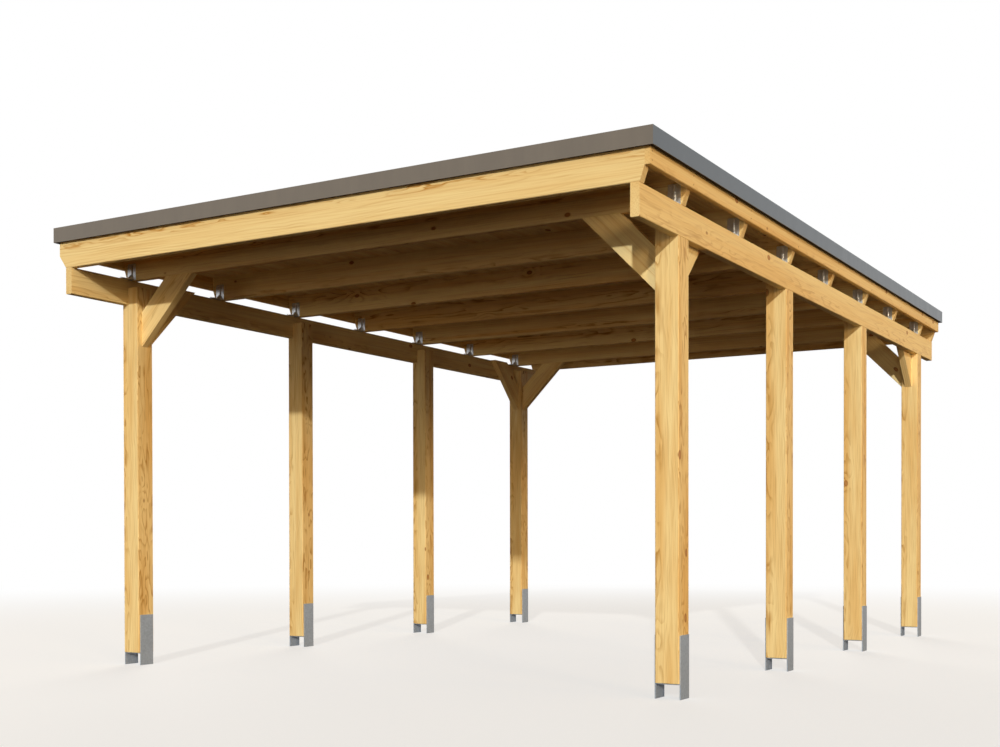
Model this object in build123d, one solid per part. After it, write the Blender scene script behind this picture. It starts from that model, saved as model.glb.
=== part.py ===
# Open timber carport with a flat roof, built from the ground up.
# Millimetres, +Z up, +X to the right, +Y to the rear; the entry faces -Y.
# The origin is on the ground, at the middle of the roof's plan.
from build123d import *
import os

os.makedirs("parts", exist_ok=True)

# Roof plan, measured over the verge trim
ROOF_WIDTH = 3730.0
ROOF_LENGTH = 5550.0

# Heights, each one standing on the one before
POST_FOOT = 75.0            # underside of a post above the ground
BEAM_SEAT = 2150.0          # shoulder of a post, under the side beam
BEAM_HEIGHT = 150.0
RAFTER_HEIGHT = 150.0
DECK_THICKNESS = 19.0
KERB_HEIGHT = 59.0          # raised edge of the covering above the deck

# Members
POST_SIZE = 120.0
HEAD_DROP = 50.0            # top of a post below the top of the beam beside it
BEAM_THICKNESS = 45.0
RAFTER_THICKNESS = 45.0
FASCIA_THICKNESS = 26.0
FASCIA_HEIGHT = 80.0
RAFTER_NOSE = 24.0          # rafter end past the beam, at its vertical cut
EASED_EDGE = 3.0            # planed arris on posts, beams and boards

# Spacing along the roof
FRONT_OVERHANG = 490.0      # front board's face to the first post's middle
REAR_OVERHANG = 413.0       # last post's middle to the rear board's face
RAFTER_COUNT = 7            # inner rafters; a post stands under every second one

# Knee braces
BRACE_LEG = 400.0           # reach along the post and along the roof
BRACE_DEPTH = 145.0
BRACE_THICKNESS = 45.0

# Post anchors
ANCHOR_HEIGHT = 300.0
ANCHOR_WIDTH = 100.0
ANCHOR_PLATE = 6.0

# Angle brackets between beam and rafters
BRACKET_LEG = 100.0
BRACKET_WIDTH = 65.0
BRACKET_SHEET = 2.5
BRACKET_INSET = 5.0         # from the beam's outer face
BEAD_WIDTH = 20.0           # pressed bead along both legs
BEAD_DEPTH = 7.0
BEAD_HEEL = 30.0            # its slope across the bend
BEAD_MARGIN = 8.0           # from its ends to the ends of the legs

# Roof edge
VERGE_PROJECTION = 22.0     # deck past the boards and fascias
TRIM_SHEET = 2.0
TRIM_DRIP = 4.0             # trim below the deck
TRIM_FLANGE = 60.0          # return of the trim over the raised edge
COVER_THICKNESS = 6.0
KERB_WIDTH = 50.0
KERB_CANT = 30.0            # sloping foot of the raised edge

# Levels
beam_top = BEAM_SEAT + BEAM_HEIGHT
rafter_top = beam_top + RAFTER_HEIGHT
deck_top = rafter_top + DECK_THICKNESS
kerb_top = deck_top + KERB_HEIGHT
roof_top = kerb_top + TRIM_SHEET

# Plan lines: distances from the middle to each face
deck_half_width = ROOF_WIDTH / 2 - TRIM_SHEET
deck_half_length = ROOF_LENGTH / 2 - TRIM_SHEET
fascia_outer = deck_half_width - VERGE_PROJECTION
nose_outer = fascia_outer - FASCIA_THICKNESS
beam_outer = nose_outer - RAFTER_NOSE
beam_inner = beam_outer - BEAM_THICKNESS
post_inner = beam_outer - POST_SIZE
board_face = deck_half_length - VERGE_PROJECTION

# Middles of the inner rafters, and of the posts under every second one
first_rafter = -board_face + FRONT_OVERHANG
last_rafter = board_face - REAR_OVERHANG
rafter_spacing = (last_rafter - first_rafter) / (RAFTER_COUNT - 1)
rafter_lines = [first_rafter + i * rafter_spacing for i in range(RAFTER_COUNT)]
post_lines = rafter_lines[::2]

SIDES = {"left": -1, "right": 1}


def block(x_faces, y_faces, z_faces):
    """A box between pairs of faces, given in either order."""
    spans = [sorted(pair) for pair in (x_faces, y_faces, z_faces)]
    size = [high - low for low, high in spans]
    middle = [(high + low) / 2 for low, high in spans]
    return Pos(*middle) * Box(*size)


def eased(solid, axis):
    """Take the arrises that run along one axis off a timber."""
    return chamfer(solid.edges().filter_by(axis), EASED_EDGE)


def prism(points, thickness, plane):
    """A flat outline drawn on a plane and given a thickness about it."""
    face = make_face(Polyline(*points, close=True).edges())
    return extrude(plane * face, thickness / 2, both=True)


def save(name, shape):
    """Write one named piece."""
    export_step(shape, f"parts/{name}.step")


# Posts: planed square timbers, the head cut back to seat the side beam
def post(side, y):
    x_faces = (side * post_inner, side * beam_outer)
    y_faces = (y - POST_SIZE / 2, y + POST_SIZE / 2)
    timber = eased(block(x_faces, y_faces, (POST_FOOT, beam_top - HEAD_DROP)), Axis.Z)
    rebate = block(
        (side * beam_inner, side * (beam_outer + EASED_EDGE)),
        y_faces,
        (BEAM_SEAT, beam_top),
    )
    return timber - rebate


# Anchors: two plates on the post's inner and outer faces, joined below it
def anchor(side, y):
    y_faces = (y - ANCHOR_WIDTH / 2, y + ANCHOR_WIDTH / 2)
    outer = block((side * beam_outer, side * (beam_outer + ANCHOR_PLATE)), y_faces, (0, ANCHOR_HEIGHT))
    inner = block((side * (post_inner - ANCHOR_PLATE), side * post_inner), y_faces, (0, ANCHOR_HEIGHT))
    bar = block((side * post_inner, side * beam_outer), y_faces, (POST_FOOT - ANCHOR_PLATE, POST_FOOT))
    return outer + bar + inner


# Side beams: on the shoulders of the posts, flush with their outer faces
def beam(side):
    timber = block((side * beam_inner, side * beam_outer), (-board_face, board_face), (BEAM_SEAT, beam_top))
    return eased(timber, Axis.Y)


# Knee braces: a board at 45 degrees, cut plumb at the post and level on top
def brace_outline(corner, direction):
    """Outline in a vertical plane, from the corner where post and roof meet."""
    cut = BRACE_DEPTH * 2 ** 0.5
    reach = [(0, BRACE_LEG), (BRACE_LEG, 0), (BRACE_LEG - cut, 0), (0, BRACE_LEG - cut)]
    return [(corner + direction * out, beam_top - down) for out, down in reach]


def brace_across(side, y):
    """Under the rafter, from the post's inner face towards the middle."""
    outline = brace_outline(side * post_inner, -side)
    return prism(outline, BRACE_THICKNESS, Plane.XZ.offset(-y))


def brace_along(side, y, direction):
    """Against the beam's inner face, from the post towards the next one."""
    outline = brace_outline(y + direction * POST_SIZE / 2, direction)
    middle = side * (beam_inner - BRACE_THICKNESS / 2)
    return prism(outline, BRACE_THICKNESS, Plane.YZ.offset(middle))


# Rafters: on the beams, each end cut plumb for the fascia, then back to the beam
def rafter(y, left_end=nose_outer):
    shoulder = rafter_top - FASCIA_HEIGHT
    right = [(beam_outer, beam_top), (nose_outer, shoulder), (nose_outer, rafter_top)]
    left = [(-left_end, rafter_top), (-left_end, shoulder), (-beam_outer, beam_top)]
    timber = prism(right + left, RAFTER_THICKNESS, Plane.XZ.offset(-y))
    lower = timber.edges().filter_by(Axis.X).group_by(Axis.Z)[0]
    return chamfer(lower, EASED_EDGE)


# Fascias: narrow boards along the plumb cuts of the rafters
def fascia(side, front_end):
    board = block(
        (side * nose_outer, side * fascia_outer),
        (front_end, board_face),
        (rafter_top - FASCIA_HEIGHT, rafter_top),
    )
    outer = board.edges().filter_by(Axis.Y).group_by(Axis.Z)[0].sort_by(Axis.X)
    return chamfer(outer[-1] if side > 0 else outer[0], EASED_EDGE)


# Angle brackets: one in front of each inner rafter, with a bead along both legs
def bracket(side, y):
    edge = beam_outer - BRACKET_INSET
    x_faces = (side * (edge - BRACKET_WIDTH), side * edge)
    upright = block(x_faces, (y - BRACKET_SHEET, y), (beam_top, beam_top + BRACKET_LEG))
    foot = block(x_faces, (y - BRACKET_LEG, y), (beam_top, beam_top + BRACKET_SHEET))
    end = BRACKET_LEG - BEAD_MARGIN - BRACKET_SHEET
    heel = BEAD_DEPTH + BEAD_HEEL
    foot_run = [(0, 0), (end, 0), (end, BEAD_DEPTH), (heel, BEAD_DEPTH)]
    upright_run = [(BEAD_DEPTH, heel), (BEAD_DEPTH, end), (0, end)]
    outline = [(y - BRACKET_SHEET - out, beam_top + BRACKET_SHEET + up) for out, up in foot_run + upright_run]
    bead = prism(outline, BEAD_WIDTH, Plane.YZ.offset(side * (edge - BRACKET_WIDTH / 2)))
    return upright + foot + bead


# Deck: boarding over the rafters, out to the trim on all four sides
def deck():
    return block(
        (-deck_half_width, deck_half_width),
        (-deck_half_length, deck_half_length),
        (rafter_top, deck_top),
    )


# Covering: a watertight sheet dressed up over a raised edge with a sloping foot
def covering():
    plan = Rectangle(2 * deck_half_width, 2 * deck_half_length)
    body = Pos(0, 0, deck_top) * extrude(plan, KERB_HEIGHT)
    floor_z = deck_top + COVER_THICKNESS
    inner = Rectangle(2 * (deck_half_width - KERB_WIDTH), 2 * (deck_half_length - KERB_WIDTH))
    basin = Pos(0, 0, floor_z) * extrude(inner, KERB_HEIGHT)
    foot = basin.edges().group_by(Axis.Z)[0]
    return body - chamfer(foot, KERB_CANT)


# Verge trim: folded sheet down the roof's edge and over the raised edge
def trim_ring():
    face_height = roof_top - rafter_top + TRIM_DRIP
    outer = Rectangle(ROOF_WIDTH, ROOF_LENGTH)
    lining = Rectangle(2 * deck_half_width, 2 * deck_half_length)
    mouth = Rectangle(ROOF_WIDTH - 2 * TRIM_FLANGE, ROOF_LENGTH - 2 * TRIM_FLANGE)
    upright = Pos(0, 0, rafter_top - TRIM_DRIP) * extrude(outer - lining, face_height)
    flange = Pos(0, 0, kerb_top) * extrude(outer - mouth, TRIM_SHEET)
    return upright + flange


def mitred(ring, corners):
    """The length of the ring between two corners, mitred at both ends."""
    (ax, ay), (bx, by) = corners
    inward = [(x - TRIM_FLANGE * (1 if x > 0 else -1), y - TRIM_FLANGE * (1 if y > 0 else -1)) for x, y in
              ((bx, by), (ax, ay))]
    wedge = make_face(Polyline((ax, ay), (bx, by), *inward, close=True).edges())
    return ring & extrude(wedge, roof_top)


for side_name, sign in SIDES.items():
    for number, line in enumerate(post_lines, start=1):
        save(f"post_{side_name}_{number}", post(sign, line))
        save(f"anchor_{side_name}_{number}", anchor(sign, line))
    save(f"beam_{side_name}", beam(sign))
    save(f"brace_front_{side_name}_across", brace_across(sign, post_lines[0]))
    save(f"brace_front_{side_name}_along", brace_along(sign, post_lines[0], 1))
    save(f"brace_rear_{side_name}_across", brace_across(sign, post_lines[-1]))
    save(f"brace_rear_{side_name}_along", brace_along(sign, post_lines[-1], -1))
    fronts = [line - RAFTER_THICKNESS / 2 for line in rafter_lines]
    save(f"brackets_{side_name}", Compound([bracket(sign, front) for front in fronts]))

# The front board laps over the left fascia's end and stops against the right fascia
save("fascia_left", fascia(-1, -board_face + RAFTER_THICKNESS))
save("fascia_right", fascia(1, -board_face))
save("front_board", rafter(-board_face + RAFTER_THICKNESS / 2, left_end=fascia_outer))
for number, line in enumerate(rafter_lines, start=1):
    save(f"rafter_{number}", rafter(line))
save("rear_board", rafter(board_face - RAFTER_THICKNESS / 2))

save("roof_deck", deck())
save("roof_covering", covering())
half_w, half_l = ROOF_WIDTH / 2, ROOF_LENGTH / 2
ring = trim_ring()
save("verge_front", mitred(ring, ((-half_w, -half_l), (half_w, -half_l))))
save("verge_rear", mitred(ring, ((half_w, half_l), (-half_w, half_l))))
save("verge_left", mitred(ring, ((-half_w, half_l), (-half_w, -half_l))))
save("verge_right", mitred(ring, ((half_w, -half_l), (half_w, half_l))))
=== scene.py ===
import logging
import math
import random
from collections.abc import Callable, Iterator
from contextlib import contextmanager
from dataclasses import dataclass, replace
from enum import Enum

import bmesh
import bpy
from mathutils import Euler, Matrix, Quaternion, Vector


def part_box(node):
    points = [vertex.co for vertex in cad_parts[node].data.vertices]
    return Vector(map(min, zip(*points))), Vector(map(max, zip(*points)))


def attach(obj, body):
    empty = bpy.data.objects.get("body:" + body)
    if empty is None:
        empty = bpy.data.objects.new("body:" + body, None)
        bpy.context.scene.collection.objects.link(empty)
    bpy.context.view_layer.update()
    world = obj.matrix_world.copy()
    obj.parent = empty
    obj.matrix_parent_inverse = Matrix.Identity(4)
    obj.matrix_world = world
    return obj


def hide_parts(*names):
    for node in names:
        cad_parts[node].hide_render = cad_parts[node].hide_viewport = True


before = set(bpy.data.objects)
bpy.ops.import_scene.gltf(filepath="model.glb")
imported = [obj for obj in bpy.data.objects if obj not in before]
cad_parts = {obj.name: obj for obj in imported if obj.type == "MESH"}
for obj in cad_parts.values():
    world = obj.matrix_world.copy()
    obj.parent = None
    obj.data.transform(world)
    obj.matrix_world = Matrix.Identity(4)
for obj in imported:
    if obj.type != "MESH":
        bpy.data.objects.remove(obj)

logging.basicConfig(level=logging.INFO, format="%(message)s")
log = logging.getLogger("carport")

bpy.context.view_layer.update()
MM = 0.001
SIDES = {"left": -1, "right": 1}
POSTS_PER_SIDE = 4
INNER_RAFTERS = 7


class Grain(Enum):
    """Direction that a timber's fibres run in."""

    UPRIGHT = (0.0, 0.0, 1.0)
    ACROSS = (1.0, 0.0, 0.0)
    LENGTHWISE = (0.0, 1.0, 0.0)
    RISING_RIGHT = (1.0, 0.0, 1.0)
    RISING_LEFT = (-1.0, 0.0, 1.0)
    RISING_BACK = (0.0, 1.0, 1.0)
    RISING_FRONT = (0.0, -1.0, 1.0)


class Element(Enum):
    """Kind of mesh element that is picked in edit mode."""

    EDGES = "EDGE"
    FACES = "FACE"


# Colours and nodes

def linear(code: str, tone: float = 1.0) -> tuple[float, float, float, float]:
    """Turn an sRGB hex colour to linear.

    Args:
        code: colour such as #C8A070.
        tone: factor on its brightness.

    Returns:
        Linear red, green, blue and alpha.
    """
    channels = [int(code[i:i + 2], 16) / 255 for i in (1, 3, 5)]
    curve = [c / 12.92 if c <= 0.04045 else ((c + 0.055) / 1.055) ** 2.4 for c in channels]
    return (*[min(1.0, c * tone) for c in curve], 1.0)


def add(tree: bpy.types.NodeTree, kind: str, inputs: dict | None = None, **settings) -> bpy.types.Node:
    """Add one node with its settings and links.

    Args:
        tree: node tree that gets it.
        kind: type of node, without its ShaderNode prefix.
        inputs: value or linked socket for each input, by name or number.
        settings: attributes of the node.

    Returns:
        The new node.
    """
    node = tree.nodes.new("ShaderNode" + kind)
    for key, value in settings.items():
        setattr(node, key, value)
    for key, value in (inputs or {}).items():
        if isinstance(value, bpy.types.NodeSocket):
            tree.links.new(value, node.inputs[key])
        else:
            node.inputs[key].default_value = value
    return node


def shape_ramp(ramp: bpy.types.Node, stops: dict[float, float]) -> None:
    """Give a colour ramp grey stops.

    Args:
        ramp: the colour ramp node.
        stops: grey level at each place from 0 to 1.
    """
    scale = ramp.color_ramp
    while len(scale.elements) > 1:
        scale.elements.remove(scale.elements[-1])
    for number, (place, level) in enumerate(stops.items()):
        stop = scale.elements[0] if number == 0 else scale.elements.new(place)
        stop.position = place
        stop.color = (level, level, level, 1.0)


def new_material(name: str) -> tuple[bpy.types.Material, bpy.types.NodeTree]:
    """Make a material with an empty node tree.

    Args:
        name: name of the finish.

    Returns:
        The material and its tree.
    """
    material = bpy.data.materials.new(name)
    material.use_nodes = True
    material.node_tree.nodes.clear()
    return material, material.node_tree


# Finishes

# All that shows in a piece of wood: noise, knots, figure and late wood, by name
Marks = dict[str, bpy.types.NodeSocket]


@dataclass(frozen=True)
class Pattern:
    """One layer of noise, by the size of its features in millimetres."""

    across: float
    along: float
    detail: float = 2.0


@dataclass(frozen=True)
class PlanedSpruce:
    """Spruce, planed and oiled: pale honey early wood with narrow, darker late wood."""

    early: str = "#F3DCA0"
    late: str = "#A8741C"
    amber: str = "#DCAA58"
    knot_core: str = "#BC8748"
    knot_rim: str = "#9C6934"
    # Near black painted past the rim of the deck boards, as shade under the trim's overhang
    painted_shade: str = "#170E07"
    # Growth rings are 3 to 5 mm apart; drawn at 13 mm or so, to show at the image's size.
    ring: float = 13.0
    taper: float = 0.012
    # Distance from a timber's middle to its stem's heart, and lightness of stems.
    heart_reach: tuple[float, float] = (45.0, 80.0)
    tones: tuple[float, float] = (0.96, 1.04)
    # Strength of the late wood: all over, where it fades most, and on faces across the rings.
    lines: float = 0.8
    faded_lines: float = 0.1
    fine_lines: float = 0.28
    # Shares of amber from drift and from broad faces.
    drift_share: float = 0.5
    broad_share: float = 0.3
    # How squarely a face meets the rings' radius where the broad figure starts and where it is full.
    broad_faces: tuple[float, float] = (0.6, 0.95)
    # Levels of noise between which late wood fades, amber rises and fibres darken, and their shades.
    fade_levels: tuple[float, float] = (0.4, 0.6)
    drift_levels: tuple[float, float] = (0.42, 0.66)
    fibre_levels: tuple[float, float] = (0.3, 0.7)
    fibre_shades: tuple[float, float] = (-0.14, 0.24)
    # Early wood scatters light, planed late wood is a little glossier.
    rough_early: float = 0.62
    rough_late: float = 0.48
    knot_cell: float = 170.0
    knot_radius: float = 15.0
    knot_stretch: float = 1.6
    knot_bend: float = 14.0
    # Wander of the rings along the stem and their ripple on broad faces, drift of colour,
    # fading of the late wood, fibres (about 1 mm wide, drawn at 7 mm so that they show)
    wander: Pattern = Pattern(120.0, 330.0, 1.5)
    wander_depth: float = 75.0
    ripple: Pattern = Pattern(34.0, 110.0, 1.5)
    ripple_depth: float = 32.0
    drift: Pattern = Pattern(70.0, 900.0, 2.0)
    fade: Pattern = Pattern(45.0, 300.0, 3.0)
    fibre: Pattern = Pattern(7.0, 200.0, 4.0)
    # Boards come from straighter stems than posts, and their figure is longer.
    board_stretch: float = 2.0
    # Boards side by side: step along the stem from one to the next, shift across it, lightness.
    board_step: float = 7.3
    board_sway: tuple[float, float] = (-0.06, 0.03)
    board_tones: tuple[float, float] = (0.95, 1.0)
    # Cut ends drink more oil than planed faces and look a shade darker.
    end_tint: float = 0.12
    relief: float = 0.5
    # The painted shade under the trim fades over a few millimetres at the rim.
    painted_shade_edge: tuple[float, float] = (-1.0, 2.0)

    def material(
        self, name: str, centre: Vector, grain: Grain, seed: int,
        heart: Vector | None = None, warmth: float = 0.0, board: float = 0.0, rim: Vector | None = None,
    ) -> bpy.types.Material:
        """Make the finish of one timber, cut from a stem of its own.

        Args:
            name: name of the material.
            centre: middle of the timber.
            grain: direction of its fibres.
            seed: number that picks the stem.
            heart: place of the stem's heart from the timber's middle, or none to leave it to chance.
            warmth: share of amber all over.
            board: width in metres where one piece is many boards side by side.
            rim: half width and half length beyond which the wood is painted near black as shade under
                the trim, or none.

        Returns:
            The material.
        """
        draw = random.Random(seed)
        angle = draw.uniform(0, 2 * math.pi)
        reach = draw.uniform(*self.heart_reach) * MM
        tone = draw.uniform(*self.tones)
        shift = Vector([draw.uniform(0, 40) for _ in range(3)])
        turn = Vector(grain.value).rotation_difference(Vector((0, 0, 1)))
        middle = turn @ heart if heart else Vector((math.cos(angle), math.sin(angle), 0)) * reach

        material, tree = new_material(name)
        place = add(tree, "Mapping", {
            "Vector": add(tree, "TexCoord").outputs["Object"],
            "Location": -(turn @ centre),
            "Rotation": turn.to_euler(),
        }).outputs[0]
        lightness = None
        if board:
            place, lightness = self.part_boards(tree, place, board)
        flat = add(tree, "VectorMath", {
            0: place, 1: (1, 1, 0), 2: -middle,
        }, operation="MULTIPLY_ADD").outputs[0]
        marks = self.noise(tree, place, grain, shift) | self.knots(tree, place, shift)
        marks["broad"] = self.broad_figure(tree, flat, turn)
        marks["dark"] = self.late_wood(tree, place, flat, marks)
        colour = self.colour(tree, marks, tone, warmth)
        if lightness:
            colour = add(tree, "Mix", {
                0: 1.0, 6: colour, 7: lightness,
            }, data_type="RGBA", blend_type="MULTIPLY").outputs[2]
        # Painted shade: past the rim the wood turns near black, as in the shade under the trim.
        if rim:
            colour = add(tree, "Mix", {
                0: self.beyond(tree, rim), 6: colour, 7: linear(self.painted_shade),
            }, data_type="RGBA").outputs[2]
        self.surface(tree, marks, self.with_cut_ends(tree, colour, grain))
        return material

    def noise(
        self, tree: bpy.types.NodeTree, place: bpy.types.NodeSocket, grain: Grain, shift: Vector
    ) -> Marks:
        """Lay the layers of noise that vary the wood.

        Args:
            tree: the material's tree.
            place: coordinates with the fibres along Z.
            grain: direction of the timber's fibres.
            shift: place in the noise that this timber takes.

        Returns:
            The level of each layer, by its name.
        """
        levels = {}
        stretch = 1.0 if grain is Grain.UPRIGHT else self.board_stretch
        for label in ("wander", "ripple", "drift", "fade", "fibre"):
            layer = getattr(self, label)
            size = (1 / (layer.across * MM), 1 / (layer.across * MM), 1 / (layer.along * stretch * MM))
            spread = add(tree, "VectorMath", {0: place, 1: size, 2: shift}, operation="MULTIPLY_ADD")
            levels[label] = add(tree, "TexNoise", {
                "Vector": spread.outputs[0], "Scale": 1.0, "Detail": layer.detail,
            }).outputs["Fac"]
        return levels

    def broad_figure(
        self, tree: bpy.types.NodeTree, flat: bpy.types.NodeSocket, turn: Quaternion
    ) -> bpy.types.NodeSocket:
        """Tell faces along the rings, with broad warm bands, from faces across them, with fine lines.

        Args:
            tree: the material's tree.
            flat: place across the fibres, from the stem's heart.
            turn: turn that brings the fibres to Z.

        Returns:
            1 on faces along the rings, 0 on faces across them.
        """
        outward = add(tree, "VectorMath", {0: flat}, operation="NORMALIZE").outputs[0]
        face = add(tree, "Mapping", {
            "Vector": add(tree, "NewGeometry").outputs["Normal"], "Rotation": turn.to_euler(),
        }, vector_type="NORMAL").outputs[0]
        facing = add(tree, "VectorMath", {0: outward, 1: face}, operation="DOT_PRODUCT")
        square = add(tree, "Math", {0: facing.outputs["Value"]}, operation="ABSOLUTE").outputs[0]
        least, full = self.broad_faces
        return add(tree, "MapRange", {
            "Value": square, "From Min": least, "From Max": full,
        }).outputs[0]

    def late_wood(
        self, tree: bpy.types.NodeTree, place: bpy.types.NodeSocket, flat: bpy.types.NodeSocket,
        marks: Marks,
    ) -> bpy.types.NodeSocket:
        """Draw late wood and fibres on rings that wander, ripple, taper and bend round knots.

        Args:
            tree: the material's tree.
            place: coordinates with the fibres along Z.
            flat: place across the fibres, from the stem's heart.
            marks: the layers of noise, the knots and the broad figure.

        Returns:
            How dark the wood is.
        """
        radius = add(tree, "VectorMath", {0: flat}, operation="LENGTH").outputs["Value"]
        ripple = add(tree, "Math", {0: marks["ripple"], 1: marks["broad"]}, operation="MULTIPLY")
        steps = (
            (marks["wander"], self.wander_depth * MM),
            (ripple.outputs[0], self.ripple_depth * MM),
            (add(tree, "SeparateXYZ", {0: place}).outputs["Z"], self.taper),
            (marks["bend"], self.knot_bend * MM),
        )
        for value, amount in steps:
            bent = add(tree, "Math", {0: value, 1: amount, 2: radius}, operation="MULTIPLY_ADD")
            radius = bent.outputs[0]
        year = add(tree, "Math", {0: radius, 1: self.ring * MM}, operation="DIVIDE").outputs[0]
        late = add(tree, "ValToRGB", {0: add(tree, "Math", {0: year}, operation="FRACT").outputs[0]})
        # Late wood darkens slowly through the year and ends sharply with it.
        shape_ramp(late, {0.0: 0.0, 0.5: 0.06, 0.8: 0.8, 0.9: 1.0, 1.0: 0.0})

        pale, full = self.fade_levels
        strength = add(tree, "MapRange", {
            "Value": marks["fade"], "From Min": pale, "From Max": full,
            "To Min": self.faded_lines, "To Max": 1.0,
        }).outputs[0]
        breadth = add(tree, "MapRange", {
            "Value": marks["broad"], "To Min": self.fine_lines, "To Max": 1.0,
        }).outputs[0]
        strength = add(tree, "Math", {0: strength, 1: breadth}, operation="MULTIPLY").outputs[0]
        line = add(tree, "Math", {0: late.outputs[0], 1: strength}, operation="MULTIPLY").outputs[0]
        (low, high), (light, dark) = self.fibre_levels, self.fibre_shades
        fibre = add(tree, "MapRange", {
            "Value": marks["fibre"], "From Min": low, "From Max": high, "To Min": light, "To Max": dark,
        }).outputs[0]
        return add(tree, "Math", {
            0: line, 1: self.lines, 2: fibre,
        }, operation="MULTIPLY_ADD").outputs[0]

    def colour(
        self, tree: bpy.types.NodeTree, marks: Marks, tone: float, warmth: float
    ) -> bpy.types.NodeSocket:
        """Colour early wood, amber patches, late wood and knots.

        Args:
            tree: the material's tree.
            marks: all that shows in the wood.
            tone: lightness of the stem.
            warmth: share of amber all over.

        Returns:
            The colour.
        """
        low, high = self.drift_levels
        amber = add(tree, "MapRange", {
            "Value": marks["drift"], "From Min": low, "From Max": high,
            "To Min": warmth, "To Max": warmth + self.drift_share,
        }).outputs[0]
        amber = add(tree, "Math", {
            0: marks["broad"], 1: self.broad_share, 2: amber,
        }, operation="MULTIPLY_ADD", use_clamp=True).outputs[0]
        clear = add(tree, "Mix", {
            0: amber, 6: linear(self.early, tone), 7: linear(self.amber, tone),
        }, data_type="RGBA").outputs[2]
        clear = add(tree, "Mix", {
            0: marks["dark"], 6: clear, 7: linear(self.late, tone),
        }, data_type="RGBA").outputs[2]
        knot = add(tree, "Mix", {
            0: marks["rim"], 6: linear(self.knot_core), 7: linear(self.knot_rim),
        }, data_type="RGBA").outputs[2]
        return add(tree, "Mix", {0: marks["knot"], 6: clear, 7: knot}, data_type="RGBA").outputs[2]

    def with_cut_ends(
        self, tree: bpy.types.NodeTree, colour: bpy.types.NodeSocket, grain: Grain
    ) -> bpy.types.NodeSocket:
        """Tint the faces that cut across the fibres.

        Args:
            tree: the material's tree.
            colour: colour of the wood.
            grain: direction of its fibres.

        Returns:
            The colour with its tint.
        """
        facing = add(tree, "VectorMath", {
            0: add(tree, "NewGeometry").outputs["Normal"], 1: Vector(grain.value).normalized(),
        }, operation="DOT_PRODUCT").outputs["Value"]
        ends = add(tree, "MapRange", {
            "Value": add(tree, "Math", {0: facing}, operation="ABSOLUTE").outputs[0],
            "From Min": 0.8, "From Max": 0.9, "To Min": 0.0, "To Max": self.end_tint,
        }).outputs[0]
        return add(tree, "Mix", {
            0: ends, 6: colour, 7: linear(self.late),
        }, data_type="RGBA").outputs[2]

    def surface(
        self, tree: bpy.types.NodeTree, marks: Marks, colour: bpy.types.NodeSocket
    ) -> None:
        """Give the wood its sheen and relief, and end its tree.

        Args:
            tree: the material's tree.
            marks: all that shows in the wood.
            colour: its colour.
        """
        rough = add(tree, "MapRange", {
            "Value": marks["dark"], "To Min": self.rough_early, "To Max": self.rough_late,
        }).outputs[0]
        proud = add(tree, "Math", {0: marks["knot"], 1: 0.6, 2: marks["dark"]}, operation="MULTIPLY_ADD")
        bump = add(tree, "Bump", {
            "Height": proud.outputs[0], "Strength": 0.5, "Distance": self.relief * MM,
        })
        skin = add(tree, "BsdfPrincipled", {
            "Base Color": colour, "Roughness": rough, "IOR": 1.5, "Specular IOR Level": 0.3,
            "Normal": bump.outputs[0],
        })
        add(tree, "OutputMaterial", {"Surface": skin.outputs[0]})

    def part_boards(
        self, tree: bpy.types.NodeTree, place: bpy.types.NodeSocket, width: float
    ) -> tuple[bpy.types.NodeSocket, bpy.types.NodeSocket]:
        """Give boards that lie side by side a stem and a lightness each.

        Args:
            tree: the material's tree.
            place: coordinates with the boards' fibres along Z and their widths along X.
            width: width of a board.

        Returns:
            Coordinates that start afresh on each board, and the board's lightness.
        """
        axes = add(tree, "SeparateXYZ", {0: place})
        count = add(tree, "Math", {0: axes.outputs["X"], 1: width}, operation="DIVIDE").outputs[0]
        number = add(tree, "Math", {0: count}, operation="FLOOR").outputs[0]
        pick = add(tree, "TexWhiteNoise", {"W": number}, noise_dimensions="1D")
        within = add(tree, "Math", {
            0: axes.outputs["X"], 1: width,
        }, operation="FLOORED_MODULO").outputs[0]
        apart = add(tree, "Math", {
            0: number, 1: self.board_step, 2: axes.outputs["Z"],
        }, operation="MULTIPLY_ADD")
        near, far = self.board_sway
        sway = add(tree, "MapRange", {"Value": pick.outputs["Value"], "To Min": near, "To Max": far})
        across = add(tree, "Math", {0: within, 1: sway.outputs[0]}, operation="ADD").outputs[0]
        fresh = add(tree, "CombineXYZ", {"X": across, "Y": axes.outputs["Y"], "Z": apart.outputs[0]})
        dull, bright = self.board_tones
        level = add(tree, "MapRange", {"Value": pick.outputs["Value"], "To Min": dull, "To Max": bright})
        return fresh.outputs[0], level.outputs[0]

    def beyond(self, tree: bpy.types.NodeTree, rim: Vector) -> bpy.types.NodeSocket:
        """Tell how far each point lies past a rectangle about the origin.

        Args:
            tree: the material's tree.
            rim: half width and half length of the rectangle.

        Returns:
            0 inside the rectangle, 1 outside.
        """
        place = add(tree, "TexCoord").outputs["Object"]
        away = add(tree, "VectorMath", {0: place}, operation="ABSOLUTE").outputs[0]
        over = add(tree, "VectorMath", {0: away, 1: (rim.x, rim.y, 0)}, operation="SUBTRACT")
        past = add(tree, "SeparateXYZ", {0: over.outputs[0]})
        most = add(tree, "Math", {
            0: past.outputs["X"], 1: past.outputs["Y"],
        }, operation="MAXIMUM").outputs[0]
        start, end = self.painted_shade_edge
        return add(tree, "MapRange", {
            "Value": most, "From Min": start * MM, "From Max": end * MM,
        }).outputs[0]

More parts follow.
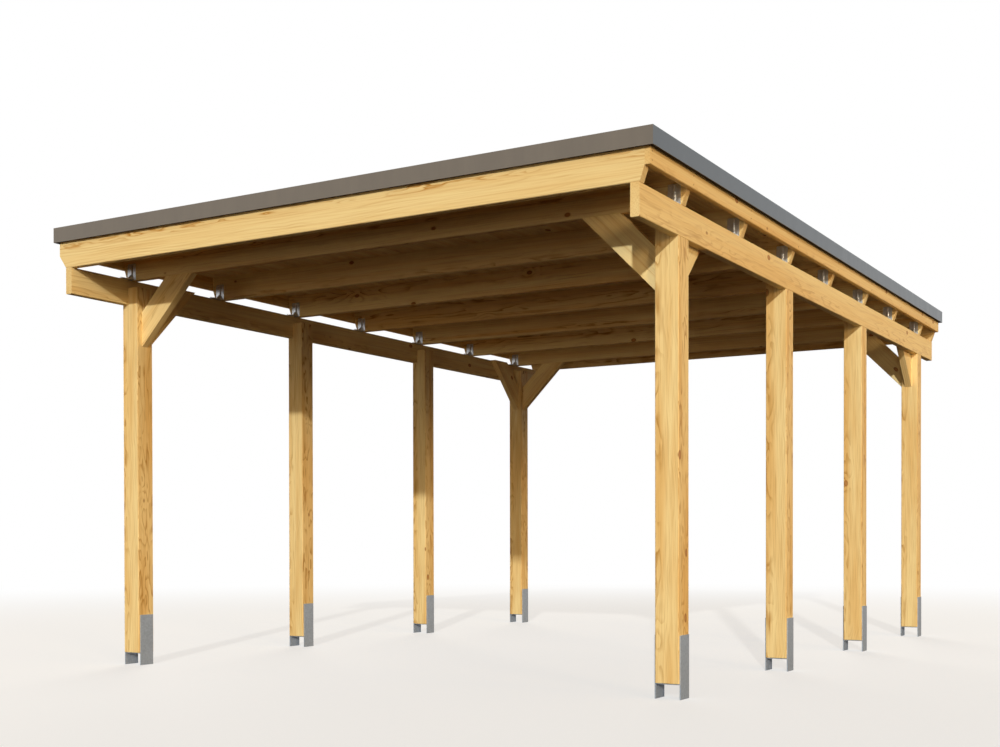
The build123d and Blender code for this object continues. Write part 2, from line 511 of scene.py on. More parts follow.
    def knots(
        self, tree: bpy.types.NodeTree, place: bpy.types.NodeSocket, shift: Vector
    ) -> Marks:
        """Scatter small sound knots through the timber.

        Args:
            tree: the material's tree.
            place: coordinates with the fibres along Z.
            shift: place in the scatter that this timber takes.

        Returns:
            How far each point is a knot, how near it is to a knot's rim, and how far it bends the rings.
        """
        cell = self.knot_cell * MM
        size = (1 / cell, 1 / cell, 1 / (cell * self.knot_stretch))
        spread = add(tree, "VectorMath", {0: place, 1: size, 2: shift}, operation="MULTIPLY_ADD")
        near = add(tree, "TexVoronoi", {"Vector": spread.outputs[0], "Scale": 1.0}).outputs["Distance"]
        reach = self.knot_radius / self.knot_cell
        found = {}
        # Where each starts and where it is full, in radii of a knot
        for label, outer, inner in (("knot", 1.1, 0.75), ("rim", 0.3, 0.95), ("bend", 4.5, 0.6)):
            found[label] = add(tree, "MapRange", {
                "Value": near, "From Min": outer * reach, "From Max": inner * reach,
            }, interpolation_type="SMOOTHSTEP").outputs[0]
        return found


@dataclass(frozen=True)
class GalvanisedSteel:
    """Zinc-coated steel: bluish grey, or dull yellow on plated screws, with soft crystals of zinc."""

    name: str
    bright: str = "#BDCBDC"
    dull: str = "#9AA8BA"
    # Crystals of zinc are 6 to 12 mm across on plates, and finer on small parts.
    spangle: float = 11.0
    roughness: float = 0.42
    metallic: float = 0.45

    def material(self) -> bpy.types.Material:
        """Make the finish.

        Returns:
            The material.
        """
        material, tree = new_material(self.name)
        place = add(tree, "TexCoord").outputs["Object"]
        crystals = add(tree, "TexVoronoi", {"Vector": place, "Scale": 1 / (self.spangle * MM)})
        cloud = add(tree, "TexNoise", {"Vector": place, "Scale": 14.0, "Detail": 4.0}).outputs["Fac"]
        level = add(tree, "SeparateColor", {0: crystals.outputs["Color"]}).outputs[0]
        blend = add(tree, "Math", {0: cloud, 1: 0.6}, operation="MULTIPLY").outputs[0]
        blend = add(tree, "Math", {0: level, 1: 0.4, 2: blend}, operation="MULTIPLY_ADD").outputs[0]
        colour = add(tree, "Mix", {
            0: blend, 6: linear(self.bright), 7: linear(self.dull),
        }, data_type="RGBA").outputs[2]
        rough = add(tree, "MapRange", {
            "Value": blend, "To Min": self.roughness - 0.08, "To Max": self.roughness + 0.12,
        }).outputs[0]
        bump = add(tree, "Bump", {"Height": cloud, "Strength": 0.2, "Distance": 0.3 * MM})
        skin = add(tree, "BsdfPrincipled", {
            "Base Color": colour, "Metallic": self.metallic, "Roughness": rough,
            "Normal": bump.outputs[0],
        })
        add(tree, "OutputMaterial", {"Surface": skin.outputs[0]})
        return material


@dataclass(frozen=True)
class CoatedSheet:
    """Folded aluminium sheet, powder coated in grey: even, satin, a little wavy."""

    name: str
    colour: str
    worn: str
    roughness: float = 0.3

    def material(self) -> bpy.types.Material:
        """Make the finish.

        Returns:
            The material.
        """
        material, tree = new_material(self.name)
        place = add(tree, "TexCoord").outputs["Object"]
        # Rain leaves faint streaks about 60 mm wide down the face.
        spread = add(tree, "VectorMath", {0: place, 1: (16, 16, 3)}, operation="MULTIPLY").outputs[0]
        streaks = add(tree, "TexNoise", {"Vector": spread, "Scale": 1.0, "Detail": 3.0}).outputs["Fac"]
        # Powder coat has a skin of 2 mm ripples; drawn at 5 mm so that it shows.
        peel = add(tree, "TexNoise", {"Vector": place, "Scale": 200.0, "Detail": 1.0}).outputs["Fac"]
        # Thin sheet bows by a millimetre or so over half a metre.
        bow = add(tree, "TexNoise", {"Vector": place, "Scale": 2.2, "Detail": 0.0}).outputs["Fac"]
        share = add(tree, "MapRange", {
            "Value": streaks, "From Min": 0.4, "From Max": 0.75, "To Max": 0.7,
        })
        colour = add(tree, "Mix", {
            0: share.outputs[0], 6: linear(self.colour), 7: linear(self.worn),
        }, data_type="RGBA").outputs[2]
        rough = add(tree, "MapRange", {
            "Value": streaks, "To Min": self.roughness - 0.06, "To Max": self.roughness + 0.1,
        }).outputs[0]
        wave = add(tree, "Bump", {"Height": bow, "Strength": 0.4, "Distance": 6 * MM})
        bump = add(tree, "Bump", {
            "Height": peel, "Strength": 0.15, "Distance": 0.2 * MM, "Normal": wave.outputs[0],
        })
        skin = add(tree, "BsdfPrincipled", {
            "Base Color": colour, "Roughness": rough, "IOR": 1.5, "Normal": bump.outputs[0],
        })
        add(tree, "OutputMaterial", {"Surface": skin.outputs[0]})
        return material


@dataclass(frozen=True)
class RoofMembrane:
    """Rubber roofing sheet, rolled and weathered: dark, dull, with faint dust."""

    name: str = "rubber_roofing_sheet"
    colour: str = "#3E3F40"
    dust: str = "#504F4C"
    roughness: float = 0.8

    def material(self) -> bpy.types.Material:
        """Make the finish.

        Returns:
            The material.
        """
        material, tree = new_material(self.name)
        place = add(tree, "TexCoord").outputs["Object"]
        patch = add(tree, "TexNoise", {"Vector": place, "Scale": 1.6, "Detail": 6.0}).outputs["Fac"]
        # Talc grain of the rolled surface is under 1 mm; drawn at 3 mm so that it shows.
        talc = add(tree, "TexNoise", {"Vector": place, "Scale": 330.0, "Detail": 2.0}).outputs["Fac"]
        share = add(tree, "MapRange", {"Value": patch, "From Min": 0.4, "From Max": 0.8})
        colour = add(tree, "Mix", {
            0: share.outputs[0], 6: linear(self.colour), 7: linear(self.dust),
        }, data_type="RGBA").outputs[2]
        bump = add(tree, "Bump", {"Height": talc, "Strength": 0.3, "Distance": 0.4 * MM})
        skin = add(tree, "BsdfPrincipled", {
            "Base Color": colour, "Roughness": self.roughness, "IOR": 1.52, "Normal": bump.outputs[0],
        })
        add(tree, "OutputMaterial", {"Surface": skin.outputs[0]})
        return material


SPRUCE = PlanedSpruce()
# Beams, braces and boards are cut from clearer wood than posts and rafters, the braces from the palest.
CLEAR_SPRUCE = replace(SPRUCE, lines=0.4, drift_share=0.3, broad_share=0.2)
PALE_SPRUCE = replace(CLEAR_SPRUCE, early="#FAE3A6")
# The front board is pale, with short golden flames near its upper edge.
FLAMED_SPRUCE = replace(
    SPRUCE, late="#BE842C", lines=0.95, drift_share=0.25, broad_share=0.1, ring=16.0,
    ripple=Pattern(30.0, 90.0, 2.0), ripple_depth=52.0,
)
# Posts show chains of small eyes on a pale ground.
EYED_SPRUCE = replace(
    SPRUCE, lines=0.8, drift_share=0.5, broad_share=0.2,
    ripple=Pattern(36.0, 150.0, 1.0), ripple_depth=40.0,
)


# Modelling

@contextmanager
def shaping(piece: bpy.types.Object) -> Iterator[None]:
    """Hold one piece in edit mode, with nothing selected at the start.

    Args:
        piece: the mesh object to shape.
    """
    bpy.ops.object.select_all(action="DESELECT")
    bpy.context.view_layer.objects.active = piece
    piece.select_set(True)
    bpy.ops.object.mode_set(mode="EDIT")
    bpy.ops.mesh.select_all(action="DESELECT")
    yield
    bpy.ops.object.mode_set(mode="OBJECT")


def pick(kind: Element, test: Callable[[Vector, Vector], bool]) -> None:
    """Select the elements that pass a test, and nothing else.

    Args:
        kind: faces or edges.
        test: takes an element's middle and its normal, or an edge's direction.
    """
    bpy.ops.mesh.select_mode(type=kind.value)
    bpy.ops.mesh.select_all(action="DESELECT")
    mesh = bmesh.from_edit_mesh(bpy.context.edit_object.data)
    if kind is Element.FACES:
        for face in mesh.faces:
            face.select_set(test(face.calc_center_median(), face.normal))
    else:
        for edge in mesh.edges:
            start, end = (vert.co for vert in edge.verts)
            edge.select_set(test((start + end) / 2, (end - start).normalized()))
    mesh.select_flush_mode()
    bmesh.update_edit_mesh(bpy.context.edit_object.data)


def start_box(name: str, low: Vector, high: Vector) -> bpy.types.Object:
    """Add a box between two corners, as a start for a piece.

    Args:
        name: the piece's name.
        low: lowest corner.
        high: highest corner.

    Returns:
        The box, with its place in its mesh.
    """
    bpy.ops.object.select_all(action="DESELECT")
    bpy.ops.mesh.primitive_cube_add(size=1, location=(low + high) / 2, scale=high - low)
    return settle(name)


def start_disc(
    name: str, centre: Vector, axis: Vector, radius: float, depth: float, sides: int
) -> bpy.types.Object:
    """Add a short round bar that stands on a point, as a start for a piece.

    Args:
        name: the piece's name.
        centre: middle of its lower end.
        axis: direction in which it stands.
        radius: its radius.
        depth: its length.
        sides: number of its sides.

    Returns:
        The bar, with its place in its mesh.
    """
    bpy.ops.object.select_all(action="DESELECT")
    turn = Vector((0, 0, 1)).rotation_difference(axis).to_euler()
    bpy.ops.mesh.primitive_cylinder_add(
        vertices=sides, radius=radius, depth=depth, location=centre + axis * depth / 2, rotation=turn
    )
    return settle(name)


def settle(name: str) -> bpy.types.Object:
    """Name the active object and move its place into its mesh.

    Args:
        name: the piece's name.

    Returns:
        The object.
    """
    piece = bpy.context.object
    piece.name = name
    bpy.ops.object.transform_apply(location=True, rotation=True, scale=True)
    return piece


def copied(piece: bpy.types.Object, move: Vector) -> bpy.types.Object:
    """Copy a piece with a mesh of its own.

    Args:
        piece: the piece to copy.
        move: how far the copy lies from it.

    Returns:
        The copy, with its place in its mesh.
    """
    twin = piece.copy()
    twin.data = piece.data.copy()
    bpy.context.scene.collection.objects.link(twin)
    twin.data.transform(Matrix.Translation(move))
    return twin


def joined(name: str, pieces: list[bpy.types.Object]) -> bpy.types.Object:
    """Join pieces into one object.

    Args:
        name: the name of the whole.
        pieces: the pieces.

    Returns:
        The whole.
    """
    bpy.ops.object.select_all(action="DESELECT")
    for piece in pieces:
        piece.select_set(True)
    bpy.context.view_layer.objects.active = pieces[0]
    bpy.ops.object.join()
    pieces[0].name = name
    return pieces[0]


def finished(
    piece: bpy.types.Object, finish: bpy.types.Material, slot: str, *nodes: str
) -> bpy.types.Object:
    """Dress a piece and tie it to the frame.

    Args:
        piece: the piece.
        finish: its material.
        slot: the record's material slot; not used.
        nodes: CAD nodes that it stands for.

    Returns:
        The piece.
    """
    piece.data.materials.clear()
    piece.data.materials.append(finish)
    bpy.ops.object.select_all(action="DESELECT")
    bpy.context.view_layer.objects.active = piece
    piece.select_set(True)
    bpy.ops.object.shade_smooth_by_angle(angle=math.radians(30))
    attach(piece, "root")
    if nodes:
        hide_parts(*nodes)
    log.info("%s: %d faces", piece.name, len(piece.data.polygons))
    return piece


def dress(node: str, finish: bpy.types.Material) -> None:
    """Give a CAD node a finish in its own slots.

    Args:
        node: the node's name.
        finish: the material.
    """
    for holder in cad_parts[node].material_slots:
        holder.material = finish
    log.info("%s: %s", node, finish.name)


def dress_timber(
    node: str, grain: Grain, seed: int, heart: Vector | None = None, warmth: float = 0.0,
    wood: PlanedSpruce = SPRUCE,
) -> None:
    """Give a CAD timber the finish of a stem of its own.

    Args:
        node: the node's name.
        grain: direction of its fibres.
        seed: number that picks the stem.
        heart: place of the stem's heart from the timber's middle, or none to leave it to chance.
        warmth: share of amber all over.
        wood: kind of wood.
    """
    low, high = (Vector(corner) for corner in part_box(node))
    dress(node, wood.material(f"planed_spruce_{node}", (low + high) / 2, grain, seed, heart, warmth))


# Sub-assemblies

@dataclass
class Posts:
    """Square posts, each standing in an anchor of galvanised plates."""

    anchor_plate: float = 6 * MM
    weld_radius: float = 4 * MM
    weld_sides: int = 10
    # The arched grain on the posts' front faces runs near their left edges.
    heart: Vector = Vector((-60 * MM, -24 * MM, 0))
    # Step from one side to the other in the numbers that pick the stems
    side_step: int = 10

    def build(self) -> None:
        """Dress posts and anchors, and weld each anchor's bar to its plates."""
        plates = GalvanisedSteel("hot_dip_galvanised_plate").material()
        for index, side in enumerate(SIDES):
            for number in range(1, POSTS_PER_SIDE + 1):
                seed = self.side_step * index + number
                dress_timber(f"post_{side}_{number}", Grain.UPRIGHT, seed, self.heart, wood=EYED_SPRUCE)
                dress(f"anchor_{side}_{number}", plates)
            beads = []
            for number in range(1, POSTS_PER_SIDE + 1):
                beads += self.welds(side, number)
            finished(joined(f"anchor_welds_{side}", beads), plates, "galvanised_steel")

    def welds(self, side: str, number: int) -> list[bpy.types.Object]:
        """Model the beads of weld under one anchor's bar.

        Args:
            side: left or right.
            number: the post's number from the front.

        Returns:
            Two beads, one at each plate.
        """
        low, high = (Vector(corner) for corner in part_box(f"anchor_{side}_{number}"))
        foot = Vector(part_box(f"post_{side}_{number}")[0])
        plate = self.anchor_plate
        length = high.y - low.y - 2 * plate
        beads = []
        for x in (low.x + plate, high.x - plate):
            start = Vector((x, low.y + plate, foot.z - plate))
            bead = start_disc(
                "weld", start, Vector((0, 1, 0)), self.weld_radius, length, self.weld_sides
            )
            with shaping(bead):
                pick(Element.FACES, lambda middle, normal: abs(normal.y) > 0.9)
                bpy.ops.mesh.bevel(offset=self.weld_radius * 0.6, segments=2)
            beads.append(bead)
        return beads


@dataclass
class RoofFrame:
    """Side beams, rafters, end boards and fascias, with the screws that hold the fascias."""

    head_radius: float = 4.5 * MM
    head_depth: float = 0.8 * MM
    head_sides: int = 12
    screw_edge: float = 20 * MM
    # The front board's arched grain runs near its upper edge.
    front_heart: Vector = Vector((0, 2 * MM, 56 * MM))
    fascia_warmth: float = 0.3
    # Numbers that pick the stems of beams, fascias and cross members
    beam_seed: int = 131
    fascia_seed: int = 35
    cross_seed: int = 41

    def build(self) -> None:
        """Dress the timbers and add the screws."""
        zinc = GalvanisedSteel(
            "yellow_zinc_screw", bright="#CBA765", dull="#AD8A4C", spangle=4.0
        ).material()
        for index, side in enumerate(SIDES):
            dress_timber(f"beam_{side}", Grain.LENGTHWISE, self.beam_seed + index, wood=CLEAR_SPRUCE)
            dress_timber(
                f"fascia_{side}", Grain.LENGTHWISE, self.fascia_seed + index,
                warmth=self.fascia_warmth, wood=CLEAR_SPRUCE,
            )
        lines = ["front_board", *(f"rafter_{n}" for n in range(1, INNER_RAFTERS + 1)), "rear_board"]
        dress_timber(lines[0], Grain.ACROSS, self.cross_seed, self.front_heart, wood=FLAMED_SPRUCE)
        for index, node in enumerate(lines[1:], start=1):
            dress_timber(node, Grain.ACROSS, self.cross_seed + index)
        for side, sign in SIDES.items():
            low, high = (Vector(corner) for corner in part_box(f"fascia_{side}"))
            face = high.x if sign > 0 else low.x
            rows = (low.z + self.screw_edge, high.z - self.screw_edge)
            spots = []
            for node in lines:
                near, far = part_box(node)
                spots += [Vector((face, (near[1] + far[1]) / 2, z)) for z in rows]
            heads = screw_heads(
                spots, Vector((sign, 0, 0)), self.head_radius, self.head_depth, self.head_sides
            )
            finished(joined(f"fascia_screws_{side}", heads), zinc, "bracket_steel")


def screw_heads(
    spots: list[Vector], axis: Vector, radius: float, depth: float, sides: int
) -> list[bpy.types.Object]:
    """Model one domed screw head with a drive recess, and copy it to each spot.

    Args:
        spots: points on the timber's face.
        axis: outward normal of that face.
        radius: radius of a head.
        depth: how far it stands proud.
        sides: number of its sides.

    Returns:
        The heads.
    """
    first = start_disc("screw_head", spots[0], axis, radius, depth, sides)
    with shaping(first):
        pick(Element.FACES, lambda middle, normal: normal.dot(axis) > 0.9)
        bpy.ops.mesh.bevel(offset=depth * 0.5, segments=1)
        pick(Element.FACES, lambda middle, normal: normal.dot(axis) > 0.99)
        bpy.ops.mesh.inset(thickness=radius * 0.45, depth=0)
        bpy.ops.mesh.inset(thickness=0, depth=-depth * 0.8)
    return [first] + [copied(first, spot - spots[0]) for spot in spots[1:]]


@dataclass
class Braces:
    """Knee braces at the corner posts, one along and one across the roof at each."""

    # Number that picks the first brace's stem, and steps to the next side and to the rear
    first_seed: int = 60
    side_step: int = 10
    rear_step: int = 5

    def build(self) -> None:
        """Dress the braces."""
        for index, side in enumerate(SIDES):
            across = Grain.RISING_RIGHT if side == "left" else Grain.RISING_LEFT
            for end, along in (("front", Grain.RISING_BACK), ("rear", Grain.RISING_FRONT)):
                seed = self.first_seed + self.side_step * index
                seed += self.rear_step if end == "rear" else 0
                dress_timber(f"brace_{end}_{side}_across", across, seed, wood=PALE_SPRUCE)
                dress_timber(f"brace_{end}_{side}_along", along, seed + 1, wood=PALE_SPRUCE)


@dataclass
class AngleBrackets:
    """Angle brackets in front of the inner rafters, nailed and stiffened by a pressed bead."""

    leg: float = 100 * MM
    sheet: float = 2.5 * MM
    bend: float = 3 * MM
    corner: float = 9 * MM
    bead_width: float = 17 * MM
    bead_depth: float = 7 * MM
    bead_end: float = 92 * MM
    bead_heel: float = 25 * MM
    bead_sink: float = 0.5 * MM
    nail_column: float = 22 * MM
    nail_rows: tuple[float, ...] = (28 * MM, 56 * MM, 84 * MM)
    nail_radius: float = 3.5 * MM
    nail_height: float = 0.8 * MM
    nail_sides: int = 10

    def build(self) -> None:
        """Model one bracket with its nails and copy it along both beams."""
        steel = GalvanisedSteel(
            "galvanised_bracket_sheet", bright="#E6EBEF", dull="#CDD3D9", spangle=7.0,
            roughness=0.34, metallic=0.72,
        ).material()
        fronts = [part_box(f"rafter_{number}")[0][1] for number in range(1, INNER_RAFTERS + 1)]
        for side in SIDES:
            low, high = (Vector(corner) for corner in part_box(f"brackets_{side}"))
            heel = Vector(((low.x + high.x) / 2, fronts[0], low.z))
            half = (high.x - low.x) / 2
            first = self.bracket(heel, half)
            nails = self.nails(heel)
            moves = [Vector((0, front - fronts[0], 0)) for front in fronts[1:]]
            brackets = [first] + [copied(first, move) for move in moves]
            fixings = nails + [copied(nail, move) for move in moves for nail in nails]
            finished(
                joined(f"angle_brackets_{side}", brackets), steel, "bracket_steel", f"brackets_{side}"
            )
            finished(joined(f"bracket_nails_{side}", fixings), steel, "bracket_steel")

    def bracket(self, heel: Vector, half: float) -> bpy.types.Object:
        """Model one bracket: foot, upright, rounded corners and bead.

        Args:
            heel: middle of the bend's outer line.
            half: half of its width.

        Returns:
            The bracket.
        """
        low, high = Vector((-half, -self.leg, 0)), Vector((half, -self.sheet, self.sheet))
        plate = start_box("bracket", heel + low, heel + high)
        with shaping(plate):
            pick(Element.FACES, lambda middle, normal: normal.y > 0.9)
            bpy.ops.mesh.extrude_region_move(TRANSFORM_OT_translate={"value": (0, self.sheet, 0)})
            pick(Element.FACES, lambda middle, normal: normal.z > 0.9 and middle.y > heel.y - self.sheet)
            rise = (0, 0, self.leg - self.sheet)
            bpy.ops.mesh.extrude_region_move(TRANSFORM_OT_translate={"value": rise})
            pick(
                Element.EDGES,
                lambda middle, along: abs(along.x) > 0.9 and (middle - heel).length < self.sheet / 4,
            )
            bpy.ops.mesh.bevel(offset=self.bend, segments=3)
            pick(Element.EDGES, lambda middle, along: self.at_free_corner(middle - heel, along))
            bpy.ops.mesh.bevel(offset=self.corner, segments=4)
        return joined("bracket", [plate, self.bead(heel)])

    def at_free_corner(self, middle: Vector, along: Vector) -> bool:
        """Tell whether an edge is a sharp corner at the free end of a leg."""
        foot_end = abs(along.z) > 0.9 and middle.y < -self.leg * 0.9
        return foot_end or (abs(along.y) > 0.9 and middle.z > self.leg * 0.9)

    def bead(self, heel: Vector) -> bpy.types.Object:
        """Model the pressed bead that stiffens both legs and stands deepest across the bend.

        Args:
            heel: middle of the bend's outer line.

        Returns:
            The bead.
        """
        sunk = self.sheet - self.bead_sink
        base = heel + Vector((0, -sunk, sunk))
        half = Vector((self.bead_width / 2, 0, 0))
        reach, depth = self.bead_end - self.sheet, self.bead_depth
        low, high = Vector((0, -reach, 0)) - half, Vector((0, 0, depth)) + half
        bead = start_box("bead", base + low, base + high)
        with shaping(bead):
            bpy.ops.mesh.select_all(action="SELECT")
            bpy.ops.mesh.bisect(plane_co=base - Vector((0, depth, 0)), plane_no=(0, 1, 0))
            pick(Element.FACES, lambda middle, normal: normal.z > 0.9 and middle.y > base.y - depth)
            bpy.ops.mesh.extrude_region_move(TRANSFORM_OT_translate={"value": (0, 0, reach - depth)})
            inner = base + Vector((0, -depth, depth))
            pick(
                Element.EDGES,
                lambda middle, along: abs(along.x) > 0.9 and (middle - inner).length < 1 * MM,
            )
            bpy.ops.mesh.bevel(offset=self.bead_heel, segments=1)
            pick(Element.EDGES, lambda middle, along: self.on_bead_arris(middle - base, along))
            bpy.ops.mesh.bevel(offset=depth * 0.7, segments=2)
        return bead

    def on_bead_arris(self, middle: Vector, along: Vector) -> bool:
        """Tell whether an edge runs along one of the bead's two outer arrises."""
        outer = abs(middle.x) > self.bead_width * 0.45 and abs(along.x) < 0.1
        return outer and middle.y < -1 * MM and middle.z > 1 * MM

    def nails(self, heel: Vector) -> list[bpy.types.Object]:
        """Model the domed nail heads of one bracket, two columns on each leg.

        Args:
            heel: middle of the bend's outer line.

        Returns:
            The nail heads.
        """
        heads = []
        for column in (-self.nail_column, self.nail_column):
            for row in self.nail_rows:
                spots = (
                    (Vector((column, -row, self.sheet)), Vector((0, 0, 1))),
                    (Vector((column, -self.sheet, row)), Vector((0, -1, 0))),
                )
                for spot, axis in spots:
                    head = start_disc(
                        "nail", heel + spot, axis, self.nail_radius, self.nail_height, self.nail_sides
                    )
                    with shaping(head):
                        pick(Element.FACES, lambda middle, normal: normal.dot(axis) > 0.9)
                        bpy.ops.mesh.bevel(offset=self.nail_height * 0.6, segments=1)
                    heads.append(head)
        return heads


@dataclass
class RoofSkin:
    """Deck boards, covering with welded laps, and the folded trim at the verge."""

    board_count: int = 39
    board_gap: float = 0.4 * MM
    groove: float = 3 * MM
    lap_width: float = 80 * MM
    lap_height: float = 1.6 * MM
    lap_count: int = 3
    # The laps lie on the covering, from one raised edge to the other.
    covering: float = 6 * MM
    lap_inset: float = 82 * MM
    # Number that picks the boards' stem
    board_seed: int = 90

    def build(self) -> None:
        """Model the boards and laps, and dress covering and trim."""
        self.deck_boards()
        membrane = RoofMembrane().material()
        dress("roof_covering", membrane)
        self.laps(membrane)
        # Painted light on one grey sheet: the end lengths get a warmer grey as painted sunlight, and the
        # side lengths a blue grey as a painted reflection of the sky.
        painted_sunlit_sheet = CoatedSheet("powder_coated_sheet_painted_sunlit_grey", "#6E6963", "#757069").material()
        painted_sky_sheet = CoatedSheet("powder_coated_sheet_painted_sky_reflection", "#424F5E", "#4B5867").material()
        for edge, sheet in (("front", painted_sunlit_sheet), ("rear", painted_sunlit_sheet), ("left", painted_sky_sheet), ("right", painted_sky_sheet)):
            dress(f"verge_{edge}", sheet)

    def deck_boards(self) -> None:
        """Model tongued boards side by side, with a V joint between their lower edges."""
        low, high = (Vector(corner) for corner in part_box("roof_deck"))
        width = (high.x - low.x) / self.board_count
        first = start_box("board", low, Vector((low.x + width - self.board_gap, high.y, high.z)))
        with shaping(first):
            pick(Element.EDGES, lambda middle, along: abs(along.y) > 0.9 and middle.z < low.z + 1 * MM)
            bpy.ops.mesh.bevel(offset=self.groove, segments=1)
        moves = [Vector((n * width, 0, 0)) for n in range(1, self.board_count)]
        boards = [first] + [copied(first, move) for move in moves]
        corner = Vector((low.x, (low.y + high.y) / 2, (low.z + high.z) / 2))
        # The boards' rim, past fascias and end boards, is painted near black as shade under the trim's
        # overhang.
        rim = Vector((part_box("fascia_right")[1][0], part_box("rear_board")[1][1], 0))
        finish = CLEAR_SPRUCE.material(
            "planed_spruce_boarding", corner, Grain.LENGTHWISE, self.board_seed, board=width, rim=rim
        )
        finished(joined("deck_boards", boards), finish, "deck_timber", "roof_deck")

    def laps(self, finish: bpy.types.Material) -> None:
        """Model the welded laps between lengths of roofing sheet.

        Args:
            finish: the sheet's material.
        """
        low, high = (Vector(corner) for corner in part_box("roof_covering"))
        inset = self.lap_inset
        floor = low.z + self.covering
        strips = []
        for number in range(1, self.lap_count + 1):
            x = low.x + (high.x - low.x) * number / (self.lap_count + 1)
            near = Vector((x - self.lap_width / 2, low.y + inset, floor))
            far = Vector((x + self.lap_width / 2, high.y - inset, floor + self.lap_height))
            strip = start_box("lap", near, far)
            with shaping(strip):
                pick(
                    Element.EDGES,
                    lambda middle, along: abs(along.y) > 0.9 and middle.z > floor + self.lap_height / 2,
                )
                bpy.ops.mesh.bevel(offset=self.lap_height * 0.8, segments=1)
            strips.append(strip)
        finished(joined("membrane_laps", strips), finish, "roof_membrane")


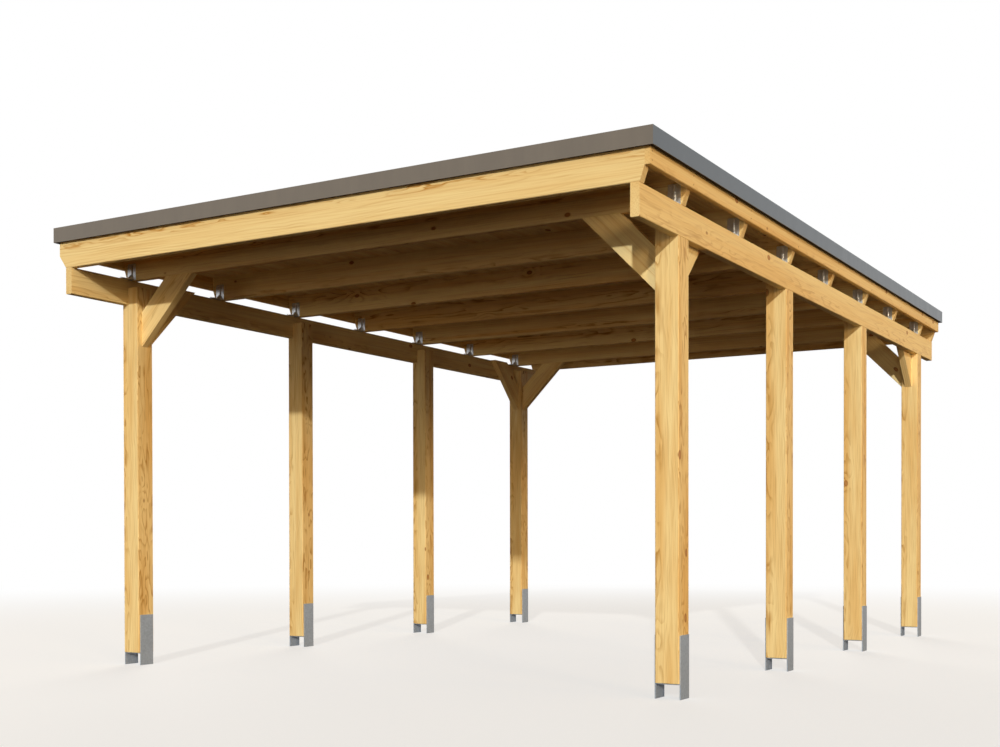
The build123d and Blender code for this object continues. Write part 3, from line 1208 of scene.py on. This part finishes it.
@dataclass
class Studio:
    """Floor, soft light and the camera at the picture's angle."""

    camera_place: Vector = Vector((4.2183, -8.0440, 0.7512))
    camera_yaw: float = 30.6288
    camera_pitch: float = -0.5971
    camera_roll: float = -0.0970
    focal_pixels: float = 1331.52
    horizon_pixel: float = 552.47
    image_width: float = 1000.0
    image_height: float = 747.0
    sensor: float = 36.0
    floor_reach: float = 60.0
    # The floor turns white between these distances from the carport's middle.
    fade_from: float = 4.0
    fade_to: float = 14.0
    view_reach: float = 500.0
    # Level of the surroundings' even light; the camera and gloss see them at 1, which is white.
    even_light: float = 0.27

    def build(self) -> None:
        """Set up the camera, floor, lamps and world."""
        bpy.context.scene.view_settings.view_transform = "Standard"
        self.camera()
        self.floor()
        self.lamps()
        self.world()

    def camera(self) -> None:
        """Create the camera from the picture's angle, focal length and vertical shift."""
        data = bpy.data.cameras.new("camera")
        data.sensor_width = self.sensor
        data.lens = self.focal_pixels * self.sensor / self.image_width
        data.shift_y = (self.horizon_pixel - self.image_height / 2) / self.image_width
        data.clip_end = self.view_reach
        camera = bpy.data.objects.new("camera", data)
        aim = Euler((0, 0, math.radians(self.camera_yaw))).to_matrix()
        tilt = Euler((math.radians(90 + self.camera_pitch), 0, 0)).to_matrix()
        roll = Euler((0, 0, math.radians(self.camera_roll))).to_matrix()
        camera.matrix_world = Matrix.Translation(self.camera_place) @ (aim @ tilt @ roll).to_4x4()
        bpy.context.scene.collection.objects.link(camera)
        bpy.context.scene.camera = camera

    def floor(self) -> None:
        """Lay a pale floor that fades to white far off and throws little light upwards."""
        bpy.ops.object.select_all(action="DESELECT")
        bpy.ops.mesh.primitive_plane_add(size=2 * self.floor_reach)
        floor = bpy.context.object
        floor.name = "studio_floor"
        material, tree = new_material("matt_studio_floor")
        seen = add(tree, "LightPath").outputs["Is Camera Ray"]
        colour = add(tree, "Mix", {
            0: seen, 6: linear("#4A403C"), 7: linear("#FFFFFF"),
        }, data_type="RGBA").outputs[2]
        far = add(tree, "VectorMath", {0: add(tree, "TexCoord").outputs["Object"]}, operation="LENGTH")
        fade = add(tree, "MapRange", {
            "Value": far.outputs["Value"], "From Min": self.fade_from, "From Max": self.fade_to,
            "To Min": 0.6, "To Max": 1.0,
        }, interpolation_type="SMOOTHSTEP").outputs[0]
        share = add(tree, "Math", {0: fade, 1: seen}, operation="MULTIPLY").outputs[0]
        matt = add(tree, "BsdfDiffuse", {"Color": colour})
        white = add(tree, "Emission", {"Color": linear("#FFFFFF"), "Strength": 1.0})
        mixed = add(tree, "MixShader", {0: share, 1: matt.outputs[0], 2: white.outputs[0]})
        add(tree, "OutputMaterial", {"Surface": mixed.outputs[0]})
        floor.data.materials.append(material)
        # The floor casts no shadow, so that the glow can rise through it.
        floor.visible_shadow = False

    def lamps(self) -> None:
        """Add the lamps.

        Key and fill come from the front right and throw the same line of shade on the left posts. The
        glow rises a little from the front, as from bright ground, and reaches under the rafters. The
        last one lights the rear.
        """
        lamps = {
            "key": (Vector((-0.447, 1.0, -0.345)), 1.97, 1.2, "#FFFDF6"),
            "fill": (Vector((-0.75, 0.5, -0.17)), 1.1, 14.0, "#FFDDAE"),
            "side": (Vector((-1.0, 0.1, -0.2)), 0.55, 20.0, "#FFD498"),
            "glow": (Vector((-0.3, 1.0, 0.1)), 0.25, 12.0, "#FFEBCC"),
            "back": (Vector((0.6, -1.0, -0.5)), 1.7, 30.0, "#FFF8EC"),
        }
        for name, (direction, strength, spread, tint) in lamps.items():
            data = bpy.data.lights.new(name, "SUN")
            data.energy = strength
            data.angle = math.radians(spread)
            data.color = linear(tint)[:3]
            lamp = bpy.data.objects.new(name, data)
            aim = Vector((0, 0, -1)).rotation_difference(direction.normalized())
            lamp.rotation_euler = aim.to_euler()
            bpy.context.scene.collection.objects.link(lamp)

    def world(self) -> None:
        """Surround the scene with even light that shows white to the camera and in gloss."""
        world = bpy.data.worlds.new("studio")
        world.use_nodes = True
        tree = world.node_tree
        tree.nodes.clear()
        path = add(tree, "LightPath")
        seen = path.outputs["Is Camera Ray"]
        for label in ("Is Glossy Ray", "Is Transmission Ray"):
            seen = add(tree, "Math", {0: seen, 1: path.outputs[label]}, operation="MAXIMUM").outputs[0]
        level = add(tree, "MapRange", {
            "Value": seen, "To Min": self.even_light, "To Max": 1.0,
        }).outputs[0]
        colour = add(tree, "Mix", {
            0: seen, 6: linear("#FFEBCC"), 7: linear("#FFFFFF"),
        }, data_type="RGBA").outputs[2]
        sky = add(tree, "Background", {"Color": colour, "Strength": level})
        add(tree, "OutputWorld", {"Surface": sky.outputs[0]})
        bpy.context.scene.world = world


def main() -> None:
    """Build and dress each sub-assembly in order, from the ground up."""
    for part in (Posts(), RoofFrame(), Braces(), AngleBrackets(), RoofSkin(), Studio()):
        log.info("%s", type(part).__name__)
        part.build()


if __name__ == "__main__":
    main()
